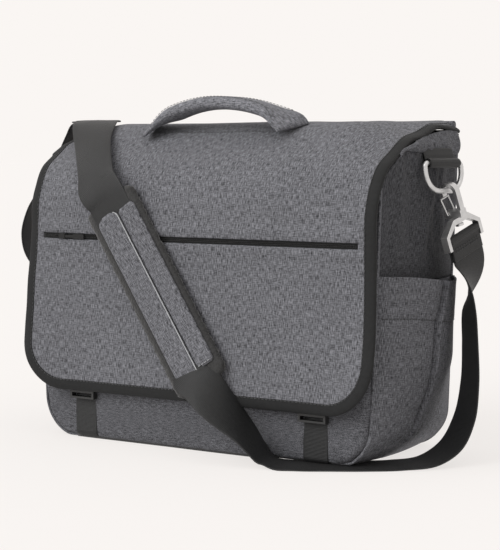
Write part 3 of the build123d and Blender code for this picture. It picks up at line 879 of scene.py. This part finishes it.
def make_gusset(side, flip):
    """One side of the bag, in two overlapping pieces of cloth."""
    ys = spread(SEAM_FRONT, SEAM_BACK, 61)
    # upper piece: the darker heather copy, painted shade under the flap
    pieces = (("upper", 0, flap_q(176), HEATHER_PAINTED_SHADE),
              # lower piece: the lighter heather copy, painted light where the cloth faces down
              ("lower", flap_q(178), SIDE_TRACK.length, HEATHER_FOOT_PAINTED_LIGHT))
    for part, q0, q1, material in pieces:
        rows = []
        for q in spread(q0, q1, 60):
            row = []
            for y in ys:
                qq = q
                if part == "upper":
                    low = SIDE_RIM - gusset_top(y)
                    qq = low + (q - q0) * (q1 - low) / (q1 - q0)
                p = side_point(qq, y, gusset_out(qq, y))
                b = side_point(qq, y, gusset_out(qq, y) - 2.4)
                low = max(0.2, floor_gap(p.x * flip, y))
                row.append((Vector((p.x * flip, p.y, max(p.z, low))),
                            Vector((b.x * flip, b.y, max(b.z, low + 0.4))), (y, q)))
            rows.append(row)
        piece = cell_sheet(f"gusset_{part}_{side}", rows)
        finish(piece, material, "bag", "heather_fabric", f"gusset_{side}")


def flap_q(z):
    """Length along the side from its rim down to height z."""
    return (SIDE_RIM - z) / cos(atan2(WIDENING, 1))


def make_hood(side, flip):
    """Turned-over rim of the gusset between the rings and the flap."""
    rows = []
    for t in spread(0, 1, 20):
        row = []
        for y in spread(-52, SEAM_BACK - 1, 60):
            rim = gusset_top(y) + 2.5
            foot = 299 + 4 * smooth(20, -50, y) + 1.2 * soft_noise(y, 0, 25, 3.0)
            z = rim + (min(foot, rim - 3) - rim) * t
            roll = sin(pi * (0.15 + 0.85 * t)) ** 0.7 if t < 1 else 0.0
            pleat = 1.8 * soft_noise(y * 0.8 - z * 1.2, z * 0.25, 13, 6.0) * sin(pi * t) * smooth(70, 0, y)
            out = gusset_out(flap_q(z), y) + 0.6 + 5.0 * roll * smooth(-50, -15, y) + pleat
            x = half_width(z) + out
            row.append((Vector((x * flip, y, z)), Vector(((x - 1.4) * flip, y, z)), (y, 27 * t)))
        rows.append(row)
    piece = cell_sheet(f"gusset_rim_fold_{side}", rows)
    finish(piece, HEATHER_RIM, "bag", "heather_fabric")


def panel(name, y_face, direction, thick, top, puff):
    """Padded front or back panel: flat inside, rounded at its seams, full in the middle."""
    heights = [CORNER_R * (1 - cos(pi / 2 * i / 14)) for i in range(15)]
    heights += spread(CORNER_R, top, 48)[1:]
    rows = []
    for z in heights:
        half = outline_half(z)
        row = []
        for u in spread(-1, 1, 92):
            x = half * (abs(u) ** 0.85) * (1 if u >= 0 else -1)
            round_off = quarter_round(edge_distance(x, z), 11)
            full = puff * (1 - 0.8 * bump(NARROW_X, 24, abs(x)) * smooth(75, 55, z))
            lift = (thick + full * (0.55 + 0.45 * smooth(5, 60, edge_distance(x, z)))) * round_off
            lift += 0.5 * soft_noise(x, z, 45, 6.0) * round_off
            y = y_face + direction * (thick * -1 + lift)
            low = max(z, floor_gap(x, y))
            row.append((Vector((x, y, low)), Vector((x, y_face - direction * (thick + 1.0), low)), (x, z)))
        rows.append(row)
    return cell_sheet(name, rows)


def make_body():
    front = panel("front_pad", SEAM_FRONT - 5.0, -1, 5.0, front_hi.z, 3.5)
    inflate(front, 5.0, 4.0, 2.5, lambda p: edge_distance(p.x, p.z) < 12 or p.y > -83
            or abs(abs(p.x) - NARROW_X) < 17)
    # the panels take the darker heather copy: painted shade, as under the flap
    finish(front, HEATHER_PANELS_PAINTED_SHADE, "bag", "heather_fabric", "front_panel")
    back = panel("back_pad", SEAM_BACK + 9.0, 1, 9.0, back_hi.z, 2.0)
    inflate(back, 6.0, 4.0, 2.5, lambda p: edge_distance(p.x, p.z) < 12 or p.y < 82
            or abs(abs(p.x) - NARROW_X) < 17)
    finish(back, HEATHER_PANELS_PAINTED_SHADE, "bag", "heather_fabric", "back_panel")
    half = base_hi.x
    outer, inner, uvs = [], [], []
    for y in spread(SEAM_FRONT - 3, SEAM_BACK + 3, 30):
        xs = spread(-half, half, 50)
        outer.append([Vector((x, y, max(floor_gap(x, y), 0.25 + 0.2 * soft_noise(x, y, 60)))) for x in xs])
        inner.append([Vector((x, y, base_hi.z)) for x in xs])
        uvs.append([(x, y) for x in xs])
    base = sheet("base_pad", outer, inner, uvs)
    finish(base, BASE_CLOTH, "bag", "base_fabric", "base_panel")
    for side, flip in (("right", 1), ("left", -1)):
        make_gusset(side, flip)
        make_hood(side, flip)
        make_seam(side, flip)
        make_pocket(side, flip)


def make_seam(side, flip):
    """Narrow taped seams between the gusset and the two panels."""
    runs = []
    for y, body_y in ((SEAM_FRONT - 0.6, "front"), (SEAM_BACK + 0.6, "back")):
        top = front_hi.z if body_y == "front" else back_hi.z - 4
        stations = []
        for q in spread(flap_q(top), SIDE_TRACK.length - 2, 70):
            here = side_point(q, y, -0.3)
            beyond = side_point(q, y, 1.0)
            out = (beyond - here).normalized()
            here = Vector((here.x * flip, here.y, max(here.z, 1.7 + floor_gap(here.x * flip, y))))
            out = Vector((out.x * flip, 0, out.z))
            stations.append((here, out, Vector((0, 1, 0))))
        runs.append((body_y, stations))
    for label, stations in runs:
        piece = tube(f"seam_{label}_{side}", stations, [oval(1.5, 1.9, 10)] * len(stations))
        finish(piece, HEATHER_SIDE, "bag", "heather_fabric")


POCKET_FRONT = -82
POCKET_BACK = 81
POCKET_HEM = 40


def pleat_y(z):
    """Where the pocket's pleat runs at height z."""
    marks = [(5, -34), (20, -20), (38, -9), (70, -3), (100, -4), (135, -3), (145, 0), (155, 5), (190, 12)]
    for (z0, y0), (z1, y1) in zip(marks, marks[1:]):
        if z <= z1:
            return y0 + (y1 - y0) * max(0.0, z - z0) / (z1 - z0)
    return marks[-1][1]


def pocket_out(y, z, line):
    """How far the side pocket stands out of the seam outline, with its pleat along line."""
    full = smooth(pocket_lo.z - 14, pocket_lo.z + 60, z)
    out = (8 * crown(y) + 2.0) * (0.25 + 0.75 * smooth(6, 36, z)) + (15.0 * crown(y) ** 0.8) * full
    fold = smooth(10, 60, z)
    step = 4.0 * smooth(line - 0.4, line + 1.4, y) * smooth(-POCKET_FRONT, line + 8, y)
    out += fold * (step - 9.0 * bump(line - 1.6, 3.2, y))
    out += (1.5 * soft_noise(y, z, 42, 9.0) + 0.7 * soft_noise(y, z, 18, 2.0)) * sqrt(crown(y))
    return out


def pocket_rim(y):
    """Height of the pocket's rim, which dips towards the back."""
    return pocket_hi.z + 1.5 - 9 * smooth(-60, 60, y) - 2.0 * crown(y)


def make_pocket(side, flip):
    """The side pocket's cloth with its pleat and hem, and the hem's stitches."""
    outer, inner, uvs = [], [], []
    foot = flap_q(CORNER_R) + CORNER_R
    for t in spread(0, 1, 84):
        row, back, weave = [], [], []
        girth = 0.0
        line = pleat_y(side_point(foot + (flap_q(pocket_rim(0)) - foot) * t, 0, 0).z)
        ys = spread(POCKET_FRONT, line - 3, 54)
        ys += [line + d for d in spread(-2.4, 2.4, 9)]
        ys += spread(line + 3, POCKET_BACK, 54)
        for y in ys:
            rim = pocket_rim(y)
            q = foot + (flap_q(rim) - foot) * t
            z = side_point(q, y, 0).z
            out = pocket_out(y, z, line)
            hem = 0.7 * smooth(rim - 41, rim - 38, z) - 0.5 * bump(rim - POCKET_HEM, 3, z)
            tuck = quarter_round(min(y - POCKET_FRONT, POCKET_BACK - y, foot - q + 2), 8)
            hang = -1.2 + (out + hem + 1.2) * (0.25 + 0.75 * tuck)
            p = side_point(q, y, hang)
            b = side_point(q, y, max(hang - 2.2, -2.0))
            low = max(0.4, floor_gap(p.x * flip, y))
            here = Vector((p.x * flip, y, max(p.z, low)))
            girth += (here - row[-1]).length if row else 0.0
            row.append(here)
            back.append(Vector((b.x * flip, y, max(b.z, low + 0.4))))
            weave.append((girth, -q))
        outer.append(row)
        inner.append(back)
        uvs.append(weave)
    piece = sheet(f"pocket_cloth_{side}", outer, inner, uvs)
    finish(piece, HEATHER_SIDE, "bag", "heather_fabric", f"bottle_pocket_{side}")
    hem = []
    for y in spread(-78, 77, 60):
        z = pocket_rim(y) - POCKET_HEM
        tuck = quarter_round(min(y - POCKET_FRONT, POCKET_BACK - y), 8)
        out = pocket_out(y, z, pleat_y(z)) * (0.25 + 0.75 * tuck) + 0.3
        p = side_point(flap_q(z), y, out)
        hem.append((Vector((p.x * flip, y, p.z)), Vector((flip, 0, 0))))
    thread = stitches(f"pocket_hem_stitches_{side}", [hem], radius=0.4)
    finish(thread, THREAD, "bag", "heather_fabric")


make_body()


# ---------------------------------------------------------------- straps
ALONG_Y = (0, 1, 0)
PAD_TOP = Vector((-97, -109.5, 257))
PAD_FOOT = Vector((26, -109.5, 67))
DOWN = (PAD_FOOT - PAD_TOP).normalized()
SIDEWAYS = Vector((-DOWN.z, 0, DOWN.x))


def strap(name, route, half=WEB_HALF, thick=WEB_T, step=4.0, curl=0.5):
    """Webbing through stations of (centre, direction across), slightly dished across.

    Where the direction's length is below 1, the webbing curls in and is that much narrower.
    """
    smoothed = through([Vector(c) for c, _ in route], [Vector(a) for _, a in route], step)
    centres = [c for c, _ in smoothed]
    stations, sections = [], []
    for i, (centre, across) in enumerate(smoothed):
        travel = centres[min(i + 1, len(centres) - 1)] - centres[max(i - 1, 0)]
        travel.normalize()
        share = min(1.0, across.length)
        across = (across - travel * across.dot(travel)).normalized()
        stations.append((centre, across, across.cross(travel)))
        dish = curl + 14 * (1 - share)
        sections.append([(a * share, b + dish * ((a / half) ** 2 - 0.3))
                         for a, b in oval(half, thick / 2, 36, 7.0)])
    return tube(name, stations, sections)


def make_straps():
    """The shoulder strap: over the flap, round the front corner to the right hook, and the left loop."""
    upper_route = [
        ((-215, 17, 335.2), ALONG_Y), ((-203, 12, 335.6), (0.35, 0.94, 0.02)),
        ((-189, -3, 335.6), (0.70, 0.70, 0.01)), ((-176, -24, 333.6), (0.87, 0.48, 0.08)),
        ((-160, -47, 324.8), (0.84, 0.38, 0.21)), ((-146, -67, 312.0), (0.75, 0.27, 0.29)),
        ((-132, -84, 298), (0.73, 0.21, 0.35)), ((-119, -98, 282), (0.77, 0.15, 0.43)),
        ((-110, -106, 268), (0.85, 0.07, 0.53)), (PAD_TOP, SIDEWAYS),
        (PAD_TOP + DOWN * 15, SIDEWAYS), (PAD_TOP + DOWN * 60, SIDEWAYS),
        (PAD_FOOT - DOWN * 80, SIDEWAYS), (PAD_FOOT - DOWN * 40, SIDEWAYS), (PAD_FOOT - DOWN * 28, SIDEWAYS)]
    upper = strap("strap_over_flap", upper_route)
    finish(upper, WEBBING, "flap", "webbing", "shoulder_strap_upper")
    floor = 1.5
    lower_route = [
        (PAD_FOOT - DOWN * 40, SIDEWAYS), (PAD_FOOT - DOWN * 28, SIDEWAYS),
        ((15, -113.5, 84), (0.78, 0.20, 0.55)), ((26, -118, 77.5), (0.62, 0.39, 0.48)),
        ((38, -121, 68.5), (0.48, 0.54, 0.42)), ((50, -121.5, 58), (0.37, 0.72, 0.28)),
        ((63.5, -119, 46), (0.21, 0.84, 0.17)), ((77, -115, 33), (0.04, 0.88, 0.06)),
        ((90, -111.5, 17.5), (-0.10, 0.90, -0.02)), ((100, -107, 5.5), (-0.14, 0.94, -0.10)),
        ((112, -104, 1.8), (-0.22, 0.96, 0)), ((128, -99, floor), (-0.34, 0.94, 0)),
        ((154, -84, floor), (-0.45, 0.89, 0)),
        ((182, -66, floor), (-0.57, 0.82, 0)), ((207, -44, floor), (-0.70, 0.71, 0)),
        ((230, -20, 4.8), (-0.76, 0.65, 0)), ((243, -1, 18), (-0.77, 0.64, 0)),
        ((250, 12, 42), (-0.75, 0.66, 0)), ((252, 20, 76), (-0.71, 0.70, 0)),
        ((250, 24, 116), (-0.68, 0.73, 0)), ((247, 27, 148), (-0.64, 0.77, 0.02)),
        (TAIL_BELOW["right"], TAIL_ACROSS["right"]), (TAIL_TIP["right"], TAIL_ACROSS["right"])]
    lower = strap("strap_under_corner", lower_route)
    finish(lower, WEBBING, None, "webbing", "shoulder_strap_lower")
    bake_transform(lower)
    side_route = [
        (TAIL_TIP["left"], TAIL_ACROSS["left"]), (TAIL_BELOW["left"], TAIL_ACROSS["left"]),
        ((-246, 15, 182), ALONG_Y), ((-260, 16, 172), ALONG_Y),
        ((-279, 17, 172), ALONG_Y), ((-294, 18, 186), ALONG_Y), ((-300, 19, 208), ALONG_Y),
        ((-292, 20, 236), ALONG_Y), ((-272, 21, 263), ALONG_Y), ((-250, 20, 292), ALONG_Y),
        ((-232, 18, 320), ALONG_Y), ((-223, 17, 332), ALONG_Y), ((-215, 17, 335.2), ALONG_Y)]
    side = strap("strap_left_loop", side_route)
    finish(side, WEBBING, None, "webbing", "shoulder_strap_side")
    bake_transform(side)


TAB_PLACE = Matrix.Translation((227, 8, 291)) @ Matrix.Rotation(radians(-10), 4, "Z")


def hook_matrix(side):
    """The hook's own frame: X outwards, Z up, origin on the ring's lower wire."""
    roll = 18.0 if side == "right" else 0.0
    ring = TAB_PLACE @ Matrix.Rotation(radians(-6), 4, "Y")
    hook = ring @ Matrix.Translation((0, 5, -27)) @ Matrix.Rotation(radians(roll), 4, "X")
    return hook if side == "right" else Matrix.Scale(-1, 4, (1, 0, 0)) @ hook


TAIL_TIP = {s: hook_matrix(s) @ Vector((3, 0, -57)) for s in ("right", "left")}
TAIL_BELOW = {s: hook_matrix(s) @ Vector((3, 0, -72)) for s in ("right", "left")}
TAIL_ACROSS = {s: (hook_matrix(s).to_3x3() @ Vector((0, 1, 0))) for s in ("right", "left")}


def round_bar(x, z, radius, start, end, count):
    """Points round a bar that runs along Y, between two angles in degrees."""
    return [Vector((x + radius * cos(radians(a)), 0, z + radius * sin(radians(a))))
            for a in spread(start, end, count)]


def strap_end(side):
    """Webbing turned up round the yoke's bar and sewn to itself."""
    frame_matrix = hook_matrix(side)
    turn = frame_matrix.to_3x3()
    loop = [Vector((4.6, 0, -66)), Vector((4.8, 0, -58))]
    loop += round_bar(3, -46.0, 3.5, -40, 220, 16)
    loop += [Vector((1.2, 0, -58)), Vector((1.4, 0, -66))]
    route = [(frame_matrix @ p, turn @ Vector((0, 1, 0))) for p in loop]
    piece = strap(f"strap_fold_{side}", route, step=1.2, thick=1.9, curl=0.0)
    finish(piece, WEBBING, f"yoke_{side}", "webbing", f"strap_end_{side}")
    outward = turn @ Vector((1, 0, 0))
    runs = [[(frame_matrix @ Vector((5.9, y, z)), outward) for y in spread(-21, 21, 12)]
            for z in (-54.0, -57.0)]
    thread = stitches(f"strap_fold_stitches_{side}", runs, radius=0.4)
    finish(thread, THREAD, f"yoke_{side}", "webbing")


def ring_tab(side, flip):
    """Webbing folded over the ring's bar and sewn flat on the gusset."""
    loop = [Vector((-7.6, 0, 14)), Vector((-5.0, 0, 8))]
    loop += round_bar(0, 0, 4.0, 130, -130, 14)
    loop += [Vector((-6.0, 0, 3)), Vector((-9.0, 0, 13))]
    across = TAB_PLACE.to_3x3() @ Vector((0, 1, 0))
    route = [(TAB_PLACE @ p, across) for p in loop]
    route = [(Vector((c.x * flip, c.y, c.z)), Vector((a.x * flip, a.y, a.z))) for c, a in route]
    piece = strap(f"ring_loop_{side}", route, half=24, thick=1.7, step=1.2, curl=0.0)
    finish(piece, WEBBING, "bag", "webbing", f"ring_tab_{side}")


def compression(side, flip):
    """Narrow webbing from the buckle under the base to the back panel."""
    front, back = narrow_lo.y + 0.9, narrow_hi.y - 0.9
    low = narrow_lo.z + 0.9
    turns = [(0, front, narrow_hi.z), (0, front, low), (0, back, low), (0, back, narrow_hi.z - 2)]
    line = arc_path(turns, 3.0, 2.0)
    stations = []
    for i, p in enumerate(line):
        travel = (line[min(i + 1, len(line) - 1)] - line[max(i - 1, 0)]).normalized()
        across = Vector((1, 0, 0))
        stations.append((Vector((NARROW_X * flip, p.y, p.z)), across, across.cross(travel)))
    section = oval(NARROW_HALF + 1.3, 0.9, 20, 7.0)
    piece = tube(f"compression_web_{side}", stations, [section] * len(stations))
    finish(piece, WEBBING, "bag", "webbing", f"compression_strap_{side}")


make_straps()
for name, sign in (("right", 1), ("left", -1)):
    strap_end(name)
    ring_tab(name, sign)
    compression(name, sign)


# ---------------------------------------------------------------- carry handle
HANDLE_Y = -41
HANDLE_HALF = 88
HANDLE_TOP = 351.5


def shoulder_at(y):
    """Point and slope of the flap's outer face at depth y."""
    s = min(spread(20, 240, 441), key=lambda v: abs(PROFILE.at(v)[0].y - y))
    p, along = PROFILE.at(s)
    return p, along, Vector((0, along.z, -along.y))


def make_handle():
    """Padded heather band whose ends spread on the flap's shoulder."""
    foot, slope, outward = shoulder_at(HANDLE_Y)
    seat = foot + outward * 2.6
    centres, sections = [], []
    for t in spread(-1, 1, 61):
        x = HANDLE_HALF * t
        flat = smooth(0.60, 1.0, abs(t))
        z = seat.z + (HANDLE_TOP - seat.z) * max(0.0, 1 - t * t) ** (1.0 if t < 0 else 0.7)
        across = Vector((0, 1, 0)).lerp(-slope, flat).normalized()
        centres.append((Vector((x, seat.y, z)), across))
        sections.append((17.0 + 5.5 * flat, 6.8 - 4.6 * flat))
    full = []
    for i, (c, a) in enumerate(centres):
        beyond = centres[min(i + 1, len(centres) - 1)][0]
        travel = (beyond - centres[max(i - 1, 0)][0]).normalized()
        a = (a - travel * a.dot(travel)).normalized()
        up = travel.cross(a)
        full.append((c, a, up if up.z > 0 else -up))
    rings = [oval(h, t, 32, 3.0) for h, t in sections]
    piece = tube("handle_band", full, rings)
    # the band takes the lighter heather copy: painted light from above
    finish(piece, HEATHER_HANDLE_PAINTED_LIGHT, None, "heather_fabric",
           "handle", "handle_anchor_left", "handle_anchor_right")
    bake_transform(piece)
    runs = []
    for edge in (-1, 1):
        runs.append([(c + a * edge * (h - 4.0) + n * (t * 0.94), n)
                     for (c, a, n), (h, t) in list(zip(full, sections))[4:-4]])
    thread = stitches("handle_stitches", runs, radius=0.35)
    finish(thread, GREY_THREAD, None, "heather_fabric")
    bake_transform(thread)


make_handle()


# ---------------------------------------------------------------- shoulder pad
def pad_point(along, across, out):
    """A point of the pad: along the strap from its middle, across it, and out from the flap."""
    middle = (PAD_TOP + PAD_FOOT) / 2
    return middle + DOWN * along + SIDEWAYS * across + Vector((0, -out, 0))


def pad_slab(name, length, width, low, high, corner, shift=0.0, centre=0.0):
    """A stuffed slab with rounded corners and edges."""
    rows = []
    for a in spread(-length / 2, length / 2, 60):
        past = abs(a) - (length / 2 - corner)
        half = width / 2
        if past > 0:
            half = width / 2 - corner + sqrt(max(0.01, corner ** 2 - past ** 2))
        row = []
        for u in spread(-1, 1, 24):
            b = half * u
            gap = min(half - abs(b), length / 2 - abs(a))
            k = quarter_round(gap + 0.3, (high - low) * 0.8)
            mid = (high + low) / 2
            row.append((pad_point(a + centre, b + shift, mid + (high - mid) * k),
                        pad_point(a + centre, b + shift, mid + (low - mid) * k), (b, a)))
        rows.append(row)
    return cell_sheet(name, rows)


def make_pad():
    """The mesh cushion, the two halves of its wrapped cover and the piping where they meet."""
    base = pad_slab("pad_cushion", 226, 74, -6.2, -1.2, 13)
    inflate(base, 4.0, 4.0, 1.2)
    finish(base, MESH, "shoulder_pad", "pad_mesh", "pad_base")
    right = pad_slab("pad_wrap_right", 184, 21.6, -1.0, 2.2, 3, shift=17.6, centre=1)
    finish(right, HEATHER, "shoulder_pad", "heather_fabric", "pad_cover")
    half, corner, centre = 98, 9, 3.5
    left = pad_slab("pad_wrap_left", 2 * half, 28, -1.0, 4.4, corner, shift=-8.0, centre=centre)
    finish(left, HEATHER, "shoulder_pad", "heather_fabric")
    line = []
    edge = 5.6
    for a in spread(-92.5, 99.5, 70):
        past = abs(a - centre) - (half - corner)
        b = edge if past < 0 else edge - corner + sqrt(max(0.0, corner ** 2 - past ** 2))
        line.append((pad_point(a, b, 3.2), SIDEWAYS, Vector((0, -1, 0))))
    piping = tube("pad_piping", line, [oval(0.55, 0.55, 10)] * len(line))
    finish(piping, PIPING, "shoulder_pad", "heather_fabric")
    run = [(pad_point(91, b, 2.5), Vector((0, -1, 0))) for b in spread(8, 27, 10)]
    thread = stitches("pad_stitches", [run], radius=0.35)
    finish(thread, PIPING, "shoulder_pad", "heather_fabric")


make_pad()


# ---------------------------------------------------------------- inside and the hinge fold
def lining_loop(z):
    """The lining's outline at height z, from the front left corner round to it again."""
    half = outline_half(z) - 5.5
    front = SEAM_FRONT + 1.0
    back = SEAM_BACK - 1.5
    loop = [(x, front) for x in spread(-half, half, 30)]
    loop += [(half, y) for y in spread(front, back, 14)[1:]]
    loop += [(x, back) for x in spread(half, -half, 30)[1:]]
    return loop + [(-half, y) for y in spread(back, front, 14)[1:]]


def make_lining():
    """Lining of the main compartment, a little inside the panels and gussets."""
    rows = []
    for z in spread(9, 262, 24):
        row = []
        for i, (x, y) in enumerate(lining_loop(z)):
            wave = 0.35 * soft_noise(x + y, z, 30, 2.0)
            inwards = 1 if y < 0 else -1
            row.append((Vector((x - 0.3 * (x > 0) + 0.3 * (x < 0), y + (0.5 + wave) * inwards, z)),
                        Vector((x * 0.995, y + (1.3 + wave) * inwards, z)), (i * 8, z)))
        rows.append(row)
    liner = cell_sheet("inner_lining", rows)
    finish(liner, LINING, "bag", "lining_fabric", "lining")


def make_divider():
    """Padded wall that parts off the laptop sleeve."""
    lo, hi = box("laptop_divider")
    mid = (lo.y + hi.y) / 2
    rows, back, weave = [], [], []
    for z in spread(lo.z, hi.z, 40):
        half = min(outline_half(z) - 13.5, hi.x)
        xs = spread(-half, half, 60)
        edge = [quarter_round(min(half - abs(x), hi.z - z, z - lo.z) + 0.4, 4) for x in xs]
        rows.append([Vector((x, mid - 3.0 * k - 0.3 * k * soft_noise(x, z, 50), z))
                     for x, k in zip(xs, edge)])
        back.append([Vector((x, mid + 3.0 * k, z)) for x, k in zip(xs, edge)])
        weave.append([(x, z) for x in xs])
    divider = sheet("divider_pad", rows, back, weave)
    finish(divider, LINING, "bag", "lining_fabric", "laptop_divider")


def make_hinge():
    """Cloth that rolls over from the back panel's rim to the flap."""
    lo, hi = box("flap_hinge")
    stations = []
    for x in spread(lo.x, hi.x, 60):
        sag = -11.0 * smooth(0.66, 1.0, abs(x) / FLAP_HALF) * bump(2, 75, HINGE.y)
        stations.append((Vector((x, HINGE.y, HINGE.z + sag)), Vector((0, 1, 0)), Vector((0, 0, 1))))
    piece = tube("hinge_fold", stations, [oval(4.3, 4.3, 20)] * len(stations))
    finish(piece, HEATHER, "flap", "heather_fabric", "flap_hinge")


make_lining()
make_divider()
make_hinge()


# ---------------------------------------------------------------- hard parts keep their CAD shape
def paint(material, *nodes):
    for node in nodes:
        mesh = frame["nodes"][node].data
        mesh.materials.clear()
        mesh.materials.append(material)


for name in ("right", "left"):
    paint(CAST, f"d_ring_{name}", f"hook_body_{name}", f"hook_yoke_{name}")
    paint(WIRE, f"hook_gate_{name}")
    paint(PLASTIC, f"buckle_prong_{name}", f"buckle_socket_{name}")
paint(PLASTIC, "strap_adjuster")
paint(DARK_METAL, "zip_slider", "zip_pull")
